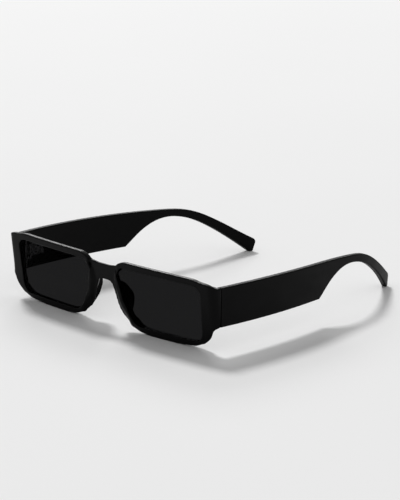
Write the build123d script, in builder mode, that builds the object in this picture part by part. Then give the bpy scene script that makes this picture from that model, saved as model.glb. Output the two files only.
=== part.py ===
from build123d import *
from math import asin, atan, cos, degrees, radians, sin, sqrt, tan
import os

# All lengths are in millimetres and all angles in degrees.
# The front faces -Y, the temples run back along +Y, and the wearer's left is +X.
# The origin is on the surface it stands on, under the middle of the whole.

# Sizes of the whole
overall_depth = 150.2
front_height = 17.0
ground_cut = 0.12
front_tilt = 7.1
wrap_radius = 680.0
seam_depth = 7.4
overrun = 3.0
fit_gap = 0.05
seat_gap = 0.15

# Outline of the front: x from the middle, q up the tilted face from its centre line
rim_top = 17.0
rim_depth = 3.5
bridge_top = 13.3
bridge_under = 4.9
bridge_half = 4.2
nose_gap_top = 4.1
nose_gap_bottom = 13.1
shoulder_x = 14.5
brow_end_x = 57.0
brow_fall_x = 66.5
brow_fall = 1.3
lug_top = 13.4
lug_under = 5.2
lug_root_x = 68.2
rim_foot_x = 60.6
outline_reach = 74.0

# Bends of that outline
bridge_valley_bend = 5.0
shoulder_bend = 10.0
brow_bend = 30.0
brow_fall_bend = 15.0
lug_root_bend = 6.0
rim_foot_bend = 11.0
nose_foot_bend = 17.0
nose_top_bend = 2.5

# Rounding of its edges
rear_round = 2.1
lug_round = 0.8

# Front corner and end piece
corner_start_x = 67.1
corner_radius = 3.9
temple_splay = 4.8
lug_inner_x = 62.2
lug_floor = 6.5

# Bevel beside the nose, from its crease to its floor, which also sets the bridge back
bevel_depth = 1.2
bevel_top = 15.0
bevel_turn = 3.5
bevel_foot = 21.0
crease_top_x = 9.0
crease_foot_x = 20.6
floor_top_x = 8.7
floor_turn_x = 6.1
floor_foot_x = 17.5
nose_splay = 22.0
flank_start = 0.9

# Lens opening, lens and groove
lens_top = 13.5
lens_bottom = 13.4
lens_nasal_top_x = 7.6
lens_nasal_bottom_x = 17.2
lens_temporal_top_x = 62.3
lens_temporal_bottom_x = 61.4
nasal_top_bend = 4.0
nasal_bottom_bend = 9.0
temporal_bottom_bend = 5.0
temporal_top_bend = 3.0
groove_depth = 0.8
lens_setback = 0.5
lens_thickness = 1.8

# Nose pads, with the rear edge as shares of the length and the reach
pad_thickness = 2.5
pad_length = 17.3
pad_reach = 7.9
pad_round = 1.1
pad_edge_shares = [(0.0, 0.30), (0.25, 0.92), (0.48, 1.0), (0.85, 0.68), (1.0, 0.30)]

# Temples
temple_thickness = 3.0
temple_top = 30.8
bow_radius = 290.0
bow_angle = 14.2
straight_run = 22.0
hook_radius = 140.0
hook_angle = 22.0

# Temple from the side, as shares of its run and of its height, from the front to the tip
temple_top_shares = [
    (0.0, 1.0),
    (0.20, 0.986),
    (0.40, 0.958),
    (0.55, 0.925),
    (0.66, 0.887),
    (0.73, 0.845),
    (0.78, 0.783),
    (0.828, 0.682),
    (0.90, 0.488),
    (1.0, 0.196),
]
temple_notch_shares = [(0.0, 0.392), (0.483, 0.376)]
temple_arch_shares = [
    (0.483, 0.376),
    (0.512, 0.476),
    (0.545, 0.586),
    (0.580, 0.674),
    (0.614, 0.731),
    (0.652, 0.759),
    (0.692, 0.752),
    (0.732, 0.713),
    (0.777, 0.638),
    (0.830, 0.508),
    (0.889, 0.325),
    (0.986, -0.034),
]
notch_bend = 0.9
tip_top_bend = 2.2
tip_foot_bend = 1.2
temple_round = 0.6

# Core of the temple, in the same shares, along the middle of its height
core_shares = [(0.555, 0.785, 1.10), (0.690, 0.838, 0.60), (0.830, 0.590, 1.50)]
core_end_shares = (0.955, 0.218)
core_height = 1.5
core_thickness = 1.0
core_cover = 0.7

# Hinge
barrel_radius = 1.5
barrel_height = 1.4
barrel_count = 5
barrel_gap = 0.3
barrel_stand = 2.2
barrel_play = 0.04
leaf_thickness = 1.0
countersink = 90.0
front_leaf_height = 13.2
front_leaf_width = 4.5
temple_leaf_length = 12.0
temple_leaf_lead = 0.9
pivot_radius = 0.7
pivot_head_radius = 1.2
pivot_head_height = 0.6
slot_width = 0.4
slot_depth = 0.3
leaf_screw_radius = 0.5
leaf_screw_head_radius = 1.0
leaf_screw_length = 2.1
front_screw_pitch = 10.4
temple_screw_start = 4.4
temple_screw_pitch = 4.6

# Places that follow from the sizes
tilt = radians(front_tilt)
splay = radians(temple_splay)
rim_bottom = (front_height + ground_cut) / cos(tilt)
front_y = rim_top * sin(tilt) - overall_depth / 2
seam_y = front_y + seam_depth
butt_y = seam_y + seat_gap
temple_run = overall_depth / 2 - seam_y
front_origin = (0, front_y, front_height)
backward = (0, cos(tilt), sin(tilt))
upward = (0, -sin(tilt), cos(tilt))
level = Plane(origin=front_origin, x_dir=(1, 0, 0), z_dir=upward)
face = Plane(origin=front_origin, x_dir=(1, 0, 0), z_dir=(0, -cos(tilt), -sin(tilt)))
from_front = Plane(origin=front_origin, x_dir=(-1, 0, 0), z_dir=backward)
reach = outline_reach + overrun
wrap_at_corner = degrees(asin(corner_start_x / wrap_radius))
corner_angle = 90 - temple_splay - wrap_at_corner
hinge_z = temple_top * (1 + temple_notch_shares[0][1]) / 2
hinge_height = barrel_count * barrel_height
hinge_foot = hinge_z - hinge_height / 2
hinge_y = seam_y + barrel_stand + barrel_radius
leaf_hole_radius = leaf_screw_radius + fit_gap
leaf_sink_radius = leaf_screw_head_radius + fit_gap


def sag(x):
    """How far the wrapped front falls back at x."""
    return wrap_radius - sqrt(wrap_radius**2 - x**2)


def rounded_loop(corners):
    """A closed outline from corners given as x, q and bend."""
    points = [(x, q) for x, q, bend in corners]
    return FilletPolyline(points, radius=[bend for x, q, bend in corners], close=True)


def lowered(corners):
    """The corners of an opening, lowered as the wrap turns the tilted face back."""
    return [(x, q - sag(x) * sin(tilt), bend) for x, q, bend in corners]


def both_sides(half):
    """Half an outline followed by its mirror image, as one loop."""
    return half + [(-x, q, bend) for x, q, bend in reversed(half)]


def corner_curve():
    """The rounded front corner in plan, from the wrapped front to the side."""
    wrap = JernArc((0, 0), (1, 0), wrap_radius, wrap_at_corner, mode=Mode.PRIVATE)
    return JernArc(wrap @ 1, wrap % 1, corner_radius, corner_angle)


def wrap_arc(start, end_x):
    """An arc in plan that follows the wrap at a depth behind the front."""
    radius = wrap_radius - start
    return JernArc((0, start), (1, 0), radius, degrees(asin(end_x / radius)))


def in_front(across, back, up):
    """A direction given across, backward and up the tilted front."""
    return (across, back * cos(tilt) - up * sin(tilt), back * sin(tilt) + up * cos(tilt))


def write(part, label):
    """Label a finished piece and write it to its own file."""
    part.label = label
    export_step(part, f"parts/{label}.step")


def write_pair(part, name):
    """Write a piece of the left side, and its mirror image for the right side."""
    write(part, f"{name}_left")
    with BuildPart() as right:
        mirror(part, about=Plane.YZ)
    write(right.part, f"{name}_right")


os.makedirs("parts", exist_ok=True)

# Where the side of the end piece meets the temple
with BuildLine() as corner_path:
    corner_curve()
corner_end = corner_path.line @ 1
seam_back = seam_depth * cos(tilt) + (hinge_z - front_height) * sin(tilt)
seam_x = corner_end.X + (seam_back - corner_end.Y) * tan(splay)
hinge_x = seam_x - temple_thickness - barrel_gap - barrel_radius
leaf_turn = splay - (hinge_y - seam_y + temple_leaf_length / 2) / bow_radius
leaf_across = Vector(cos(leaf_turn), -sin(leaf_turn), 0)
leaf_plane = Plane(origin=(hinge_x, hinge_y, hinge_z), x_dir=leaf_across, z_dir=(0, 0, 1))
bow_centre = Vector(seam_x - bow_radius * cos(splay), seam_y + bow_radius * sin(splay), hinge_z)
leaf_face = (bow_centre - leaf_plane.origin).dot(leaf_across) + bow_radius - temple_thickness

# Outlines of the front
front_half = [
    (bridge_half, bridge_top, bridge_valley_bend),
    (shoulder_x, rim_top, shoulder_bend),
    (brow_end_x, rim_top, brow_bend),
    (brow_fall_x, rim_top - brow_fall, brow_fall_bend),
    (outline_reach, lug_top, 0),
    (outline_reach, -lug_under, 0),
    (lug_root_x, -lug_under, lug_root_bend),
    (rim_foot_x, -rim_bottom, rim_foot_bend),
    (nose_gap_bottom, -rim_bottom, nose_foot_bend),
    (nose_gap_top, bridge_under, nose_top_bend),
]
lens_corners = [
    (lens_nasal_top_x, lens_top, nasal_top_bend),
    (lens_temporal_top_x, lens_top, temporal_top_bend),
    (lens_temporal_bottom_x, -lens_bottom, temporal_bottom_bend),
    (lens_nasal_bottom_x, -lens_bottom, nasal_bottom_bend),
]
nose_slope = (nose_gap_bottom - nose_gap_top) / (bridge_under + rim_bottom)
nose_half = [
    (nose_gap_top, bridge_under, nose_top_bend),
    (nose_gap_bottom + nose_slope * overrun, -rim_bottom - overrun, 0),
]


def bevel_half(slide):
    """Half the outline of the bevel, slid out along its slope by a share of its width."""
    creases = (crease_top_x, crease_top_x, crease_foot_x)
    floors = (floor_top_x, floor_turn_x, floor_foot_x)
    heights = (bevel_top, bevel_turn, -bevel_foot)
    return [(x + slide * (x - low), q, 0) for x, low, q in zip(creases, floors, heights)]


def lens_blank(gap):
    """The left lens, or with a gap the groove that holds it."""
    with BuildPart() as blank:
        with BuildSketch(face):
            with BuildLine():
                rounded_loop(lowered(lens_corners))
            make_face()
            offset(amount=groove_depth + gap, mode=Mode.REPLACE)
        extrude(amount=reach, both=True)
        with BuildSketch(level):
            with BuildLine():
                near = wrap_arc(lens_setback - gap, reach)
                far = wrap_arc(lens_setback + lens_thickness + gap, reach)
                Line(near @ 0, far @ 0)
                Line(near @ 1, far @ 1)
            make_face()
        extrude(amount=reach, both=True, mode=Mode.INTERSECT)
    return blank.part


def leaf_screw(plane):
    """A small countersunk screw whose head is flush with the plane."""
    with BuildPart() as screw:
        with BuildSketch(Plane.YZ):
            with BuildLine():
                cone = (leaf_screw_head_radius - leaf_screw_radius) / tan(radians(countersink / 2))
                Polyline(
                    (0, 0),
                    (leaf_screw_head_radius, 0),
                    (leaf_screw_radius, -cone),
                    (leaf_screw_radius, -leaf_screw_length),
                    (0, -leaf_screw_length),
                    close=True,
                )
            make_face()
        revolve(axis=Axis.Z)
    return plane.location * screw.part


def level_sweep(corners):
    """The space behind an outline of the front, swept level backward and forward."""
    with BuildPart() as swept:
        with BuildSketch(face):
            with BuildLine():
                rounded_loop(corners)
            make_face()
        extrude(amount=reach, both=True, dir=(0, 1, 0))
    return swept.part


def outer_edges(faces):
    """Edges round the outside of a chain of faces."""
    edges = [edge for one in faces for edge in one.outer_wire().edges()]
    return [edge for edge in edges if sum(edge.is_same(other) for other in edges) == 1]


def looks_across(one):
    """Whether a face looks more across than along the temple."""
    normal = one.normal_at(one.center())
    return abs(normal.X) > abs(normal.Y)


# Front frame
front_screw_x = hinge_x + barrel_radius - front_leaf_width / 2
front_space = level_sweep(both_sides(front_half))
with BuildPart() as end_pieces:
    with BuildSketch(level.offset(-lug_floor)):
        with BuildLine():
            corner = corner_curve()
            side = PolarLine(corner @ 1, 2 * seam_depth, direction=corner % 1)
            Polyline(side @ 1, (lug_inner_x, (side @ 1).Y), (lug_inner_x, (corner @ 0).Y), corner @ 0)
        make_face()
        mirror(about=Plane.YZ)
    extrude(amount=reach)
    add(front_space, mode=Mode.INTERSECT)
    split(bisect_by=Plane((0, seam_y, 0), z_dir=(0, 1, 0)), keep=Keep.BOTTOM)
    split(bisect_by=Plane((0, 0, temple_top)), keep=Keep.BOTTOM)
    level_edges = end_pieces.edges().filter_by(Axis.Y)
    top_edges = level_edges.filter_by_position(Axis.Z, temple_top - fit_gap, temple_top + fit_gap)
    fillet(top_edges, lug_round)
with BuildPart() as front_frame:
    with BuildSketch(level):
        with BuildLine():
            front_arc = wrap_arc(0, corner_start_x)
            corner = corner_curve()
            rear_arc = wrap_arc(rim_depth, corner_start_x)
            Line(front_arc @ 0, rear_arc @ 0)
            Line(corner @ 1, rear_arc @ 1)
        make_face()
        mirror(about=Plane.YZ)
    extrude(amount=reach, both=True)
    add(front_space, mode=Mode.INTERSECT)
    walls = front_frame.faces().filter_by(GeomType.CYLINDER).sort_by(SortBy.AREA)[-2:]
    rear_edges = outer_edges(walls.sort_by(Axis.Y)[-1:])
    fillet([edge for edge in rear_edges if abs(edge.center().X) < corner_start_x - fit_gap], rear_round)
    add(end_pieces.part)
    for slide in (1, -1):
        with BuildSketch(from_front.offset(-slide * bevel_depth)):
            with BuildLine():
                rounded_loop(both_sides(bevel_half(slide)))
            make_face()
    loft(ruled=True, mode=Mode.SUBTRACT)
    with BuildSketch(from_front.offset(flank_start)):
        with BuildLine():
            rounded_loop(both_sides(nose_half))
        make_face()
    extrude(amount=rim_depth, taper=-nose_splay, mode=Mode.SUBTRACT)
    with BuildSketch(face):
        with BuildLine():
            rounded_loop(lowered(lens_corners))
        make_face()
        mirror(about=Plane.YZ)
    extrude(amount=reach, both=True, mode=Mode.SUBTRACT)
    groove = lens_blank(fit_gap)
    add(groove, mode=Mode.SUBTRACT)
    add(mirror(groove, about=Plane.YZ, mode=Mode.PRIVATE), mode=Mode.SUBTRACT)
    for side_sign in (1, -1):
        with Locations((side_sign * front_screw_x, seam_y, hinge_z)):
            Box(
                front_leaf_width + 2 * fit_gap,
                2 * (leaf_thickness + fit_gap),
                front_leaf_height + 2 * fit_gap,
                mode=Mode.SUBTRACT,
            )
        for step in (-1, 1):
            screw_z = hinge_z + step * front_screw_pitch / 2
            with Locations(Plane(origin=(side_sign * front_screw_x, seam_y, screw_z), z_dir=(0, 1, 0))):
                Hole(leaf_hole_radius, depth=leaf_screw_length + fit_gap)
    split(bisect_by=Plane.XY, keep=Keep.TOP)
write(front_frame.part, "front_frame")

# Lenses
write_pair(lens_blank(0), "lens")

# Nose pads, each standing on the plane of the rim's splayed flank
edge_turn = atan(nose_slope)
flank_turn = radians(nose_splay)
down_edge = in_front(sin(edge_turn), 0, -cos(edge_turn))
flank_level = cos(flank_turn)
out_of_flank = in_front(cos(edge_turn) * flank_level, -sin(flank_turn), sin(edge_turn) * flank_level)
pad_origin = level.from_local_coords((nose_gap_top, flank_start, bridge_under))
with BuildPart() as nose_pad:
    with BuildSketch(Plane(origin=pad_origin, x_dir=down_edge, z_dir=out_of_flank)):
        with BuildLine():
            edge = [(s * pad_length, t * pad_reach) for s, t in pad_edge_shares]
            rear = Spline(*edge)
            Line(rear @ 0, rear @ 1)
        make_face()
    extrude(amount=pad_thickness)
    fillet(nose_pad.edges().filter_by(GeomType.BSPLINE), pad_round)
    add(front_frame.part, mode=Mode.SUBTRACT)
pad_outside_rim = nose_pad.solids().sort_by(SortBy.VOLUME)[-1]
write_pair(pad_outside_rim, "nose_pad")


def temple_line(inset):
    """The temple in plan at an inset from its outer face, from ahead of the seam to past the tip."""
    heading = (sin(splay), cos(splay))
    start = (seam_x - inset * cos(splay), seam_y + inset * sin(splay))
    lead = (start[0] - overrun * sin(splay), start[1] - overrun * cos(splay))
    Line(lead, start)
    bow = JernArc(start, heading, bow_radius - inset, bow_angle)
    run = PolarLine(bow @ 1, straight_run, direction=bow % 1)
    hook = JernArc(run @ 1, run % 1, hook_radius - inset, hook_angle)
    return lead, hook @ 1


def temple_band(near, far):
    """The outline in plan of what lies between two insets from the outer face of the temple."""
    near_start, near_end = temple_line(near)
    far_start, far_end = temple_line(far)
    Line(near_start, far_start)
    Line(near_end, far_end)


def temple_place(share_of_run, share_of_height):
    """A point of the temple seen from the side."""
    return (butt_y + share_of_run * temple_run, share_of_height * temple_top)


def core_blank(gap):
    """The core wire, or with a gap the channel that holds it."""
    points = [temple_place(run, height) for run, height, bend in core_shares]
    bends = [bend * temple_top for run, height, bend in core_shares]
    start = (hinge_y + temple_leaf_length * cos(leaf_turn) + 2 * fit_gap - gap, hinge_z)
    end = temple_place(*core_end_shares)
    with BuildPart() as blank:
        with BuildSketch(Plane.YZ):
            with BuildLine() as middle:
                FilletPolyline([start] + points + [end], radius=bends)
            trace(middle.line, line_width=core_height + 2 * gap)
        extrude(amount=reach)
        inner = temple_thickness - core_cover
        with BuildSketch(Plane.XY):
            with BuildLine():
                temple_band(inner - core_thickness - gap, inner + gap)
            make_face()
        extrude(amount=reach, mode=Mode.INTERSECT)
    return blank.part


def leaf_box(across, along, height, low_across, low_along):
    """A block in the hinge leaf's own directions, centred on the height of the hinge."""
    with BuildPart() as block:
        with Locations((low_across + across / 2, low_along + along / 2, 0)):
            Box(across, along, height)
    return leaf_plane.location * block.part


# Temples
with BuildPart() as temple:
    with BuildSketch(Plane.YZ) as temple_side:
        with BuildLine():
            top_edge = Spline(*[temple_place(*shares) for shares in temple_top_shares])
            slab_edge = Line(*[temple_place(*shares) for shares in temple_notch_shares])
            arch = Spline(*[temple_place(*shares) for shares in temple_arch_shares])
            Line(top_edge @ 0, slab_edge @ 0)
            Line(top_edge @ 1, arch @ 1)
        make_face()
        bends = ((slab_edge @ 1, notch_bend), (top_edge @ 1, tip_top_bend), (arch @ 1, tip_foot_bend))
        for corner, bend in bends:
            fillet(temple_side.vertices().sort_by_distance(corner)[0], bend)
    extrude(amount=reach)
    with BuildSketch(Plane.XY.offset(-overrun)):
        with BuildLine():
            temple_band(0, temple_thickness)
        make_face()
    extrude(amount=reach, mode=Mode.INTERSECT)
    long_edges = outer_edges([one for one in temple.faces() if looks_across(one)])
    fillet([edge for edge in long_edges if edge.center().Y > seam_y + seam_depth], temple_round)
    split(bisect_by=Plane.XY, keep=Keep.TOP)
    add(
        leaf_box(
            leaf_thickness + fit_gap + overrun,
            temple_leaf_length + temple_leaf_lead + 2 * fit_gap,
            hinge_height + 2 * fit_gap,
            leaf_face - overrun,
            -temple_leaf_lead - fit_gap,
        ),
        mode=Mode.SUBTRACT,
    )
    for row in range(2):
        along = temple_screw_start + row * temple_screw_pitch
        hole_origin = leaf_plane.from_local_coords((leaf_face, along, 0))
        with Locations(Plane(origin=hole_origin, z_dir=-leaf_across)):
            Hole(leaf_hole_radius, depth=leaf_screw_length + fit_gap)
    add(core_blank(fit_gap), mode=Mode.SUBTRACT)
write_pair(temple.part, "temple")

# Temple cores
write_pair(core_blank(0), "temple_core")

# Front hinge leaves, with the odd barrels
with BuildPart() as front_leaf:
    with Locations((front_screw_x, seam_y - leaf_thickness / 2, hinge_z)):
        Box(front_leaf_width, leaf_thickness, front_leaf_height)
    for row in range(0, barrel_count, 2):
        with BuildSketch(Plane.XY.offset(hinge_foot + row * barrel_height)):
            with Locations((hinge_x, hinge_y)):
                Circle(barrel_radius)
            with Locations((hinge_x, (seam_y + hinge_y) / 2)):
                Rectangle(2 * barrel_radius, hinge_y - seam_y)
        extrude(amount=barrel_height)
    with BuildSketch(Plane.XY.offset(hinge_foot)):
        with Locations((hinge_x, hinge_y)):
            Circle(pivot_radius + fit_gap)
    extrude(amount=hinge_height, mode=Mode.SUBTRACT)
    for step in (-1, 1):
        screw_z = hinge_z + step * front_screw_pitch / 2
        with Locations(Plane(origin=(front_screw_x, seam_y, screw_z), z_dir=(0, 1, 0))):
            CounterSinkHole(leaf_hole_radius, leaf_sink_radius, leaf_thickness, countersink)
write_pair(front_leaf.part, "front_hinge_leaf")

# Temple hinge leaves, with the even barrels between those of the front
with BuildPart() as temple_leaf:
    leaf_span = temple_leaf_length + temple_leaf_lead
    add(leaf_box(leaf_thickness, leaf_span, hinge_height, leaf_face, -temple_leaf_lead))
    for row in range(1, barrel_count, 2):
        foot = hinge_foot + row * barrel_height + barrel_play
        height = barrel_height - 2 * barrel_play
        with BuildSketch(Plane.XY.offset(foot)):
            with Locations((hinge_x, hinge_y)):
                Circle(barrel_radius)
        extrude(amount=height)
        neck = leaf_box(leaf_face, barrel_radius + temple_leaf_lead, height, 0, -temple_leaf_lead)
        add(Pos(0, 0, foot + height / 2 - hinge_z) * neck)
    with BuildSketch(Plane.XY.offset(hinge_foot)):
        with Locations((hinge_x, hinge_y)):
            Circle(pivot_radius + fit_gap)
    extrude(amount=hinge_height, mode=Mode.SUBTRACT)
    for row in range(2):
        along = temple_screw_start + row * temple_screw_pitch
        hole_origin = leaf_plane.from_local_coords((leaf_face, along, 0))
        with Locations(Plane(origin=hole_origin, z_dir=-leaf_across)):
            CounterSinkHole(leaf_hole_radius, leaf_sink_radius, leaf_thickness, countersink)
write_pair(temple_leaf.part, "temple_hinge_leaf")

# Hinge screws, slotted, each turned into the lowest barrel
with BuildPart() as hinge_screw:
    with BuildSketch(Plane.XY.offset(hinge_foot)):
        with Locations((hinge_x, hinge_y)):
            Circle(pivot_radius)
    extrude(amount=hinge_height)
    with BuildSketch(Plane.XY.offset(hinge_foot + hinge_height)):
        with Locations((hinge_x, hinge_y)):
            Circle(pivot_head_radius)
    extrude(amount=pivot_head_height)
    with Locations((hinge_x, hinge_y, hinge_foot + hinge_height + pivot_head_height)):
        Box(2 * pivot_head_radius, slot_width, 2 * slot_depth, mode=Mode.SUBTRACT)
write_pair(hinge_screw.part, "hinge_screw")

# Countersunk screws of the hinge leaves
front_screws = []
for step in (-1, 1):
    screw_z = hinge_z + step * front_screw_pitch / 2
    front_screws.append(leaf_screw(Plane(origin=(front_screw_x, seam_y, screw_z), z_dir=(0, 1, 0))))
write_pair(Compound(children=front_screws), "front_leaf_screws")
temple_screws = []
for row in range(2):
    along = temple_screw_start + row * temple_screw_pitch
    screw_origin = leaf_plane.from_local_coords((leaf_face, along, 0))
    temple_screws.append(leaf_screw(Plane(origin=screw_origin, z_dir=-leaf_across)))
write_pair(Compound(children=temple_screws), "temple_leaf_screws")
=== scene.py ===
from math import cos, radians, sin

import bmesh
import bpy
import numpy as np
from mathutils import Matrix, Vector


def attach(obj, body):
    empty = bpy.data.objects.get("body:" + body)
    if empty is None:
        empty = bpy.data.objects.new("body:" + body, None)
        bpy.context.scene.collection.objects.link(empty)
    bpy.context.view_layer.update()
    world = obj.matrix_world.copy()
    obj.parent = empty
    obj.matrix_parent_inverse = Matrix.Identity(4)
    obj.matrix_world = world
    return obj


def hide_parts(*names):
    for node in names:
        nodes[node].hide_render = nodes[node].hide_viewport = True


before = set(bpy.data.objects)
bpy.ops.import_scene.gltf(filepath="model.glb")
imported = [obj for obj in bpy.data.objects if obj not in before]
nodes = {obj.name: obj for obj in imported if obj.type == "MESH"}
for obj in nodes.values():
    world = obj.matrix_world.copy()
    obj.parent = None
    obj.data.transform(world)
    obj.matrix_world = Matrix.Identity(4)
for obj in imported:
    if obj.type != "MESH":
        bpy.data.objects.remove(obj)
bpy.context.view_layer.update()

# Camera, worked out from the mirror symmetry of the glasses: place in metres, angles in degrees
CAMERA_PLACE = (0.9545, -0.9529, 0.3851)
CAMERA_TURN = 45.3356
CAMERA_DROP = 15.0281
CAMERA_ROLL = 0.1156
CAMERA_NEAR = 0.05
CAMERA_FAR = 50.0

# Lens and sensor of the camera, in millimetres
CAMERA_LENS = 206.2
CAMERA_SENSOR = 36.0

# Sky, as a share of plain white
SKY_STRENGTH = 0.42

# Key light: turn from the front to the wearer's left, height and size in degrees, strength in W/m2
KEY_TURN = 244.0
KEY_HEIGHT = 46.0
KEY_STRENGTH = 1.9
KEY_SIZE = 12.0

# Window light: its place as the key light's, with its reach and size in metres, and power in watts
WINDOW_TURN = 231.0
WINDOW_HEIGHT = 25.0
WINDOW_REACH = 4.0
WINDOW_SIZE = (1.4, 1.1)
WINDOW_POWER = 42.0

# Floor: half its side in metres, its grey, and its darkest and palest clouds as shares of that grey
FLOOR_REACH = 8.0
FLOOR_GREY = 0.86
FLOOR_DARK = 0.97
FLOOR_PALE = 1.02
FLOOR_ROUGHNESS = 0.9
FLOOR_SPECULAR = 0.1

# Patterns in the surfaces: their cells in a metre, their steps of detail and their stretch
PLASTER = {"scale": 2.4, "detail": 2.0}
CLOUDS = {"scale": 70.0, "detail": 3.0}
SMUDGES = {"scale": 160.0, "detail": 5.0, "stretch": (1, 0.45, 1)}
GRAIN = {"scale": 5200.0, "detail": 2.0}
HAZE = {"scale": 220.0, "detail": 4.0}
BRUSHING = {"scale": 2600.0, "detail": 3.0}

# All patterns: how strong their finer steps are, and the range that most of their values lie in
PATTERN_ROUGHNESS = 0.55
PATTERN_RANGE = (0.25, 0.75)

# Stretch of a pattern: none, upright or along the temples
EVEN = (1, 1, 1)
UPRIGHT = (1, 1, 0.1)
LENGTHWISE = (1, 0.1, 1)

# Depth of the fine relief, in metres
RELIEF_DEPTH = 0.00002

# Plastics: colours, roughness and indices of refraction
BLACK = (0.0022, 0.0022, 0.0023)
PAD_BLACK = (0.0050, 0.0050, 0.0052)
FRONT_ROUGHNESS = 0.31
TEMPLE_ROUGHNESS = 0.46
PAD_ROUGHNESS = 0.50
PLASTIC_INDEX = 1.5
PAD_INDEX = 1.06
PLASTIC_SPECULAR = 0.06

# Marks in the plastics: clouds as shares of the colour, smudges as steps of roughness
CLOUD_DARK = 0.75
CLOUD_PALE = 1.3
SMUDGE_SMOOTHER = 0.05
SMUDGE_ROUGHER = 0.07
GRAIN_STRENGTH = 0.10

# Lenses: darkest and palest tint, and index of refraction
LENS_DARK = (0.0132, 0.0132, 0.0136)
LENS_PALE = (0.0148, 0.0148, 0.0152)
LENS_INDEX = 1.03

# Steels: colours and roughness
HINGE_STEEL = (0.56, 0.56, 0.57)
SCREW_STEEL = (0.60, 0.60, 0.60)
CORE_STEEL = (0.50, 0.50, 0.51)
HINGE_ROUGHNESS = 0.30
SCREW_ROUGHNESS = 0.24
CORE_ROUGHNESS = 0.34

# Lines in the steels: the darkest as a share of the colour, and their steps of roughness
LINE_DARK = 0.86
LINE_SMOOTHER = 0.06
LINE_ROUGHER = 0.08
LINE_STRENGTH = 0.12

# Even meshes: their grid in metres, their rounds of wear, and how much of the way each round goes
FRONT_VOXEL = 0.0003
PAD_VOXEL = 0.00025
FRONT_WEAR = 10
PAD_WEAR = 5
WEAR_SHARE = 0.5

# Millimetres in a metre
MM = 1000.0

# Face of the front: how far ahead of and above the origin, its tilt in degrees, and its wrap
FACE_AHEAD = 72.999
FACE_ABOVE = 17.0
FACE_TILT = 7.1
WRAP_RADIUS = 680.0

# Sculpting is in millimetres on that face: away from its middle, up or below the lens middle, and back
# A pair is where a change starts and where it is full, and a spot is a place away and up, and a reach

# Flank beside the nose, swept outward
NASAL_SWEEP = 1.7
SWEEP_BELOW = (-3.0, 4.0)
SWEEP_AWAY = (12.0, 20.0)
SWEEP_BACK = (0.7, 3.0)

# Edge beside the nose, bulged towards the nose
NASAL_BELLY = 1.6
BELLY_SPOT = (12.5, -5.0, 6.0)
BELLY_AWAY = (12.0, 15.0)

# Lower corner beside the nose, trimmed at its rear and by a share of that at its face
NASAL_TRIM = 2.8
TRIM_SPOT = (12.5, -15.0, 5.5)
TRIM_FACE_SHARE = 0.2
TRIM_BACK = (0.5, 2.0)

# Lower corner beside the temple, fuller at the face and tapered behind it
CORNER_FULLER = 1.8
CORNER_TAPER = 2.8
CORNER_SPOT = (65.5, -11.0, 5.5)
CORNER_AWAY = (61.5, 65.0)
FULLER_BACK = (0.4, 2.6)
TAPER_BACK = (0.6, 3.2)

# Lower edge of the rims, lifted towards its two ends
TEMPORAL_LIFT = 1.0
TEMPORAL_LIFT_AWAY = (42.0, 60.0)
NASAL_LIFT = 1.3
NASAL_LIFT_AWAY = (16.0, 30.0)
EDGE_BELOW = (13.0, 17.0)
EDGE_END_AWAY = (64.0, 69.0)

# Lower corners behind the face, beside the nose and beside the temple: how far lifted, and where
REAR_LIFTS = (
    (3.2, (15.5, -15.5, 5.5)),
    (2.2, (63.0, -14.0, 5.0)),
)
REAR_LIFT_BACK = (0.8, 3.0)
REAR_LIFT_UP = (-13.0, -10.0)

# Side walls of the openings, flared behind the lenses, the nasal one leaning outward as it goes down
REAR_BACK = (1.6, 2.6)
WALL_FLARE = 1.3
WALL_REACH = 1.8
WALL_FROM_BELOW = (-14.5, -12.5)
WALL_TO_BELOW = (13.0, 15.0)
TEMPORAL_WALL = 61.8
NASAL_WALL = 12.4
NASAL_WALL_LEAN = 0.35

# Ledge under the lenses, dropped throughout and once more behind the lenses
LEDGE_FROM_AWAY = (12.0, 16.0)
LEDGE_TO_AWAY = (61.5, 63.5)
LEDGE_DROP = 0.4
LEDGE_FROM_BELOW = (11.0, 13.0)
LEDGE_TO_BELOW = (13.9, 16.0)
REAR_LEDGE_DROP = 0.7
REAR_LEDGE_BELOW = 13.4
REAR_LEDGE_REACH = 1.6

# Upper corners of the openings, nasal and temporal: the spot, and how far it moves outward and upward
OPENING_CORNERS = (
    ((8.6, 12.9, 2.6), 1.0, -1.0),
    ((61.6, 12.9, 2.4), -0.5, -0.5),
)

# Nose pads: how much further out the flank's sweep ends on them, and how much deeper they reach
PAD_SWEEP_FURTHER = 6.0
PAD_DEEPER = 0.8
DEEPER_BACK = (3.0, 8.0)
DEEPER_BELOW = (-2.0, 2.0)


def placed(name, data):
    """A new object in the scene."""
    made = bpy.data.objects.new(name, data)
    bpy.context.scene.collection.objects.link(made)
    return made


def toward(turn, height):
    """Unit vector to a place given by its turn from the front and its height, in degrees."""
    turn, height = radians(turn), radians(height)
    return Vector((sin(turn) * cos(height), -cos(turn) * cos(height), sin(height)))


def aim(light, way):
    """Turn a light that stands in a direction so that it shines back along it."""
    light.rotation_mode = "QUATERNION"
    light.rotation_quaternion = way.to_track_quat("Z", "Y")


def scaled(colour, share):
    """A colour with each of its values multiplied."""
    return [share * value for value in colour]


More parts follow.
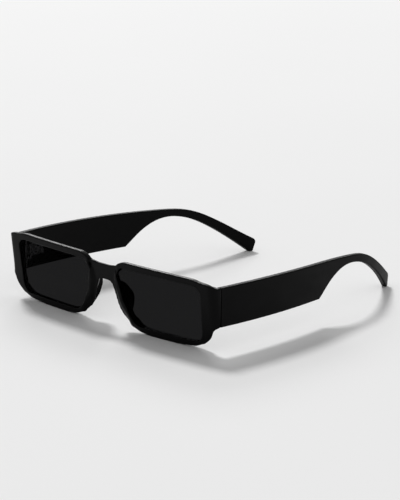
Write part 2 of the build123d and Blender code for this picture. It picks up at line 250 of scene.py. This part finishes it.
def add_camera():
    """The camera at the photograph's place."""
    turn, drop = radians(CAMERA_TURN), radians(CAMERA_DROP)
    right = Vector((cos(turn), sin(turn), 0))
    ahead = Vector((-sin(turn) * cos(drop), cos(turn) * cos(drop), -sin(drop)))
    up = right.cross(ahead)
    basis = Matrix((right, up, -ahead)).transposed() @ Matrix.Rotation(radians(CAMERA_ROLL), 3, "Z")
    data = bpy.data.cameras.new("camera")
    data.lens = CAMERA_LENS
    data.sensor_width = CAMERA_SENSOR
    data.clip_start = CAMERA_NEAR
    data.clip_end = CAMERA_FAR
    camera = placed("camera", data)
    camera.matrix_world = Matrix.Translation(CAMERA_PLACE) @ basis.to_4x4()
    bpy.context.scene.camera = camera


class Shader:
    """A node material, built up node by node."""

    def __init__(self, name):
        self.material = bpy.data.materials.new(name)
        self.material.use_nodes = True
        self.tree = self.material.node_tree
        self.surface = self.tree.nodes["Principled BSDF"]
        self.output = self.tree.nodes["Material Output"]

    def node(self, kind, inputs=(), **settings):
        """A new node, its inputs linked where they are sockets and set where they are values."""
        made = self.tree.nodes.new(kind)
        for key, value in settings.items():
            setattr(made, key, value)
        for key, value in dict(inputs).items():
            if isinstance(value, bpy.types.NodeSocket):
                self.tree.links.new(value, made.inputs[key])
            else:
                made.inputs[key].default_value = value
        return made

    def set(self, socket, value):
        """Give the surface one value all over."""
        self.surface.inputs[socket].default_value = value

    def feed(self, socket, value):
        """Let a pattern drive one value of the surface."""
        self.tree.links.new(value, self.surface.inputs[socket])

    def noise(self, scale, detail, stretch=EVEN):
        """A cloudy pattern that stays with the object."""
        place = self.node("ShaderNodeTexCoord")
        mapped = self.node("ShaderNodeMapping", {"Vector": place.outputs["Object"], "Scale": stretch})
        made = self.node("ShaderNodeTexNoise", {
            "Vector": mapped.outputs["Vector"], "Scale": scale, "Detail": detail,
            "Roughness": PATTERN_ROUGHNESS})
        return made.outputs["Fac"]

    def spread(self, value, low, high):
        """A pattern spread between two numbers."""
        least, most = PATTERN_RANGE
        made = self.node("ShaderNodeMapRange", {
            "Value": value, "From Min": least, "From Max": most, "To Min": low, "To Max": high})
        return made.outputs["Result"]

    def colours(self, value, low, high):
        """A pattern spread between two colours."""
        made = self.node("ShaderNodeMix", {"Factor": value}, data_type="RGBA")
        made.inputs["A"].default_value = (*low, 1)
        made.inputs["B"].default_value = (*high, 1)
        return made.outputs["Result"]

    def bump(self, height, strength):
        """Fine relief from a pattern."""
        made = self.node("ShaderNodeBump", {
            "Height": height, "Strength": strength, "Distance": RELIEF_DEPTH})
        self.feed("Normal", made.outputs["Normal"])


def plastic(name, shade, roughness, index):
    """Satin black plastic with faint flow marks, handling smudges and fine tooling grain."""
    made = Shader(name)
    made.set("Specular IOR Level", PLASTIC_SPECULAR)
    made.set("IOR", index)
    clouds = made.noise(**CLOUDS)
    smudges = made.noise(**SMUDGES)
    grain = made.noise(**GRAIN)
    made.feed("Base Color", made.colours(clouds, scaled(shade, CLOUD_DARK), scaled(shade, CLOUD_PALE)))
    made.feed("Roughness", made.spread(
        smudges, roughness - SMUDGE_SMOOTHER, roughness + SMUDGE_ROUGHER))
    made.bump(grain, GRAIN_STRENGTH)
    return made.material


def lens_glass(name):
    """Clear polished lens with a dark tint that lets about one part in seventy of the light through."""
    made = Shader(name)
    haze = made.noise(**HAZE)
    made.feed("Base Color", made.colours(haze, LENS_DARK, LENS_PALE))
    made.set("Roughness", 0.0)
    made.set("Transmission Weight", 1.0)
    made.set("IOR", LENS_INDEX)
    return made.material


def metal(name, shade, roughness, stretch):
    """Steel with fine lines, stretched along one axis or even."""
    made = Shader(name)
    made.set("Metallic", 1.0)
    lines = made.noise(**BRUSHING, stretch=stretch)
    made.feed("Base Color", made.colours(lines, scaled(shade, LINE_DARK), shade))
    made.feed("Roughness", made.spread(lines, roughness - LINE_SMOOTHER, roughness + LINE_ROUGHER))
    made.bump(lines, LINE_STRENGTH)
    return made.material


def floor_plaster():
    """Pale plaster that keeps its own colour, without shadows, where it is seen through a lens."""
    made = Shader("floor_plaster")
    clouds = made.noise(**PLASTER)
    grey = (FLOOR_GREY, FLOOR_GREY, FLOOR_GREY)
    plaster = made.colours(clouds, scaled(grey, FLOOR_DARK), scaled(grey, FLOOR_PALE))
    made.feed("Base Color", plaster)
    through = made.node("ShaderNodeLightPath").outputs["Is Transmission Ray"]
    plain = made.node("ShaderNodeEmission", {"Color": plaster, "Strength": 1.0}).outputs["Emission"]
    lit = made.surface.outputs["BSDF"]
    mixed = made.node("ShaderNodeMixShader", {0: through, 1: lit, 2: plain})
    made.tree.links.new(mixed.outputs["Shader"], made.output.inputs["Surface"])
    made.set("Roughness", FLOOR_ROUGHNESS)
    made.set("Specular IOR Level", FLOOR_SPECULAR)
    return made.material


def add_floor():
    """A plain pale floor."""
    mesh = bpy.data.meshes.new("floor")
    made = bmesh.new()
    signs = ((-1, -1), (1, -1), (1, 1), (-1, 1))
    corners = [made.verts.new((x * FLOOR_REACH, y * FLOOR_REACH, 0)) for x, y in signs]
    made.faces.new(corners)
    made.to_mesh(mesh)
    made.free()
    floor = placed("floor", mesh)
    floor.data.materials.append(floor_plaster())


def add_sky():
    """A broad even sky."""
    world = bpy.data.worlds.new("sky")
    world.use_nodes = True
    sky = world.node_tree.nodes["Background"]
    sky.inputs["Color"].default_value = (1, 1, 1, 1)
    sky.inputs["Strength"].default_value = SKY_STRENGTH
    bpy.context.scene.world = world


def add_key():
    """One soft key light, behind the glasses on the wearer's right."""
    data = bpy.data.lights.new("key", "SUN")
    data.energy = KEY_STRENGTH
    data.angle = radians(KEY_SIZE)
    aim(placed("key", data), toward(KEY_TURN, KEY_HEIGHT))


def add_window():
    """A low window behind the glasses, which gives the rims' upper faces their sheen."""
    data = bpy.data.lights.new("window", "AREA")
    data.shape = "RECTANGLE"
    data.size, data.size_y = WINDOW_SIZE
    data.energy = WINDOW_POWER
    window = placed("window", data)
    way = toward(WINDOW_TURN, WINDOW_HEIGHT)
    window.location = WINDOW_REACH * way
    aim(window, way)


def fresh_mesh(piece):
    """Replace a piece's mesh by the one its modifiers give, and drop the modifiers."""
    bpy.context.view_layer.update()
    shaped = piece.evaluated_get(bpy.context.evaluated_depsgraph_get())
    mesh = bpy.data.meshes.new_from_object(shaped)
    piece.modifiers.clear()
    piece.data = mesh


def even_grid(piece, voxel):
    """Give a piece a fine even mesh."""
    grid = piece.modifiers.new("grid", "REMESH")
    grid.mode = "VOXEL"
    grid.voxel_size = voxel
    grid.use_smooth_shade = True
    fresh_mesh(piece)


def wear(piece, rounds):
    """Wear a piece's edges round."""
    worn = piece.modifiers.new("worn", "SMOOTH")
    worn.factor = WEAR_SHARE
    worn.iterations = rounds
    fresh_mesh(piece)


def moulded(node, name, body):
    """A copy of a CAD node's mesh that stands for it, rides on its body and takes its finish."""
    piece = placed(name, nodes[node].data.copy())
    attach(piece, body)
    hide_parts(node)
    return piece


def coat(piece, material):
    """Give a piece one material all over."""
    piece.data.materials.clear()
    piece.data.materials.append(material)


def dress(material, *prefixes):
    """Give one material to the CAD nodes whose names start like this."""
    for name, node in nodes.items():
        if name.startswith(prefixes):
            coat(node, material)


class FrontFace:
    """A piece's points as places on the front's face: away, up or below, and back, in millimetres."""

    def __init__(self, piece):
        self.piece = piece
        self.tilt = radians(FACE_TILT)
        count = len(piece.data.vertices)
        points = np.empty(3 * count)
        piece.data.vertices.foreach_get("co", points)
        self.points = MM * points.reshape(count, 3)
        x = self.points[:, 0]
        y = self.points[:, 1] + FACE_AHEAD
        z = self.points[:, 2] - FACE_ABOVE
        sag = WRAP_RADIUS - np.sqrt(WRAP_RADIUS**2 - x**2)
        self.side = np.sign(x)
        self.away = np.abs(x)
        self.up = z * cos(self.tilt) - y * sin(self.tilt)
        self.below = -self.up
        self.back = y * cos(self.tilt) + z * sin(self.tilt) - sag

    def shift(self, outward, upward, backward):
        """Move the piece's points away from the middle, up the tilted face and back."""
        self.points[:, 0] += self.side * outward
        self.points[:, 1] += backward * cos(self.tilt) - upward * sin(self.tilt)
        self.points[:, 2] += backward * sin(self.tilt) + upward * cos(self.tilt)
        self.piece.data.vertices.foreach_set("co", (self.points / MM).ravel())
        self.piece.data.update()


def rise(value, start, full):
    """Smooth step from 0 at the start to 1 where it is full."""
    share = np.clip((value - start) / (full - start), 0.0, 1.0)
    return share * share * (3.0 - 2.0 * share)


def fall(value, start, full):
    """Smooth step from 1 at the start to 0 where it is full."""
    return 1.0 - rise(value, start, full)


def ridge(distance, reach):
    """Smooth ridge, 1 along its line, that dies away beyond its reach."""
    return np.exp(-(distance / reach) ** 2)


def hill(face, spot):
    """Smooth hill on the face, 1 at its spot, that dies away beyond its reach."""
    away, up, reach = spot
    return np.exp(-((face.away - away) ** 2 + (face.up - up) ** 2) / reach**2)


def nasal_sweep(face, further=0.0):
    """How far outward the flank beside the nose is swept, with the sweep's end moved further out."""
    flank = rise(face.below, *SWEEP_BELOW) * fall(face.away - further, *SWEEP_AWAY)
    return NASAL_SWEEP * rise(face.back, *SWEEP_BACK) * flank


def nasal_belly(face):
    """How far the edge beside the nose bulges towards the nose."""
    return NASAL_BELLY * hill(face, BELLY_SPOT) * fall(face.away, *BELLY_AWAY)


def nasal_trim(face):
    """How far outward the lower corner beside the nose is cut back."""
    depth = TRIM_FACE_SHARE + (1.0 - TRIM_FACE_SHARE) * rise(face.back, *TRIM_BACK)
    return NASAL_TRIM * hill(face, TRIM_SPOT) * depth


def temporal_corner(face):
    """How far outward the lower corner beside the temple moves, with a taper behind the face."""
    corner = hill(face, CORNER_SPOT) * rise(face.away, *CORNER_AWAY)
    fuller = CORNER_FULLER * fall(face.back, *FULLER_BACK)
    taper = CORNER_TAPER * rise(face.back, *TAPER_BACK)
    return corner * (fuller - taper)


def wall_flare(face):
    """How far outward the openings' side walls move behind the lenses, the nasal ones inward."""
    height = rise(face.below, *WALL_FROM_BELOW) * fall(face.below, *WALL_TO_BELOW)
    temporal = ridge(face.away - TEMPORAL_WALL, WALL_REACH)
    nasal = ridge(face.away - NASAL_WALL - NASAL_WALL_LEAN * face.below, WALL_REACH)
    return WALL_FLARE * rise(face.back, *REAR_BACK) * height * (temporal - nasal)


def edge_lift(face):
    """How far up the rims' lower edge is lifted towards its two ends."""
    edge = rise(face.below, *EDGE_BELOW) * fall(face.away, *EDGE_END_AWAY)
    temporal = TEMPORAL_LIFT * rise(face.away, *TEMPORAL_LIFT_AWAY)
    nasal = NASAL_LIFT * fall(face.away, *NASAL_LIFT_AWAY)
    return edge * (temporal + nasal)


def rear_lift(face, lift, spot):
    """How far up a lower corner is lifted behind the face."""
    rear = rise(face.back, *REAR_LIFT_BACK) * fall(face.up, *REAR_LIFT_UP)
    return lift * hill(face, spot) * rear


def ledge_drop(face):
    """How far down the ledge under the lenses drops."""
    inside = rise(face.away, *LEDGE_FROM_AWAY) * fall(face.away, *LEDGE_TO_AWAY)
    whole = rise(face.below, *LEDGE_FROM_BELOW) * fall(face.below, *LEDGE_TO_BELOW)
    rear = rise(face.back, *REAR_BACK) * ridge(face.below - REAR_LEDGE_BELOW, REAR_LEDGE_REACH)
    return inside * (LEDGE_DROP * whole + REAR_LEDGE_DROP * rear)


def sculpt_front(piece):
    """Fuller and softer corners, a lifted lower edge and flared openings, worked into an even mesh."""
    face = FrontFace(piece)
    outward = nasal_sweep(face) - nasal_belly(face) + nasal_trim(face)
    outward += temporal_corner(face) + wall_flare(face)
    upward = edge_lift(face) - ledge_drop(face)
    for lift, spot in REAR_LIFTS:
        upward += rear_lift(face, lift, spot)
    for spot, corner_outward, corner_upward in OPENING_CORNERS:
        near = hill(face, spot)
        outward += corner_outward * near
        upward += corner_upward * near
    face.shift(outward, upward, 0.0)


def sculpt_pad(piece):
    """A nose pad that follows the swept flank and the bulged edge, with a deeper rear edge."""
    face = FrontFace(piece)
    outward = nasal_sweep(face, PAD_SWEEP_FURTHER) - nasal_belly(face)
    backward = PAD_DEEPER * rise(face.back, *DEEPER_BACK) * rise(face.below, *DEEPER_BELOW)
    face.shift(outward, 0.0, backward)


def add_front():
    """The moulded front, both rims with their bridge and end pieces."""
    front = moulded("front_frame", "front_shell", "front")
    even_grid(front, FRONT_VOXEL)
    sculpt_front(front)
    wear(front, FRONT_WEAR)
    coat(front, plastic("front_satin", BLACK, FRONT_ROUGHNESS, PLASTIC_INDEX))


def add_pads():
    """The two nose pads."""
    satin = plastic("pad_satin", PAD_BLACK, PAD_ROUGHNESS, PAD_INDEX)
    for side in ("left", "right"):
        pad = moulded("nose_pad_" + side, "pad_shell_" + side, "front")
        even_grid(pad, PAD_VOXEL)
        sculpt_pad(pad)
        wear(pad, PAD_WEAR)
        coat(pad, satin)


def dress_nodes():
    """The finishes of the temples, lenses, hinges, screws and cores."""
    satin = plastic("temple_satin", BLACK, TEMPLE_ROUGHNESS, PLASTIC_INDEX)
    dress(satin, "temple_left", "temple_right")
    dress(lens_glass("lens_tint"), "lens")
    hinges = metal("hinge_steel", HINGE_STEEL, HINGE_ROUGHNESS, UPRIGHT)
    dress(hinges, "front_hinge_leaf", "temple_hinge_leaf")
    screws = metal("screw_steel", SCREW_STEEL, SCREW_ROUGHNESS, EVEN)
    dress(screws, "hinge_screw", "front_leaf_screws", "temple_leaf_screws")
    cores = metal("core_steel", CORE_STEEL, CORE_ROUGHNESS, LENGTHWISE)
    dress(cores, "temple_core")


bpy.context.scene.view_settings.view_transform = "Standard"
add_camera()
add_floor()
add_sky()
add_key()
add_window()
add_front()
add_pads()
dress_nodes()
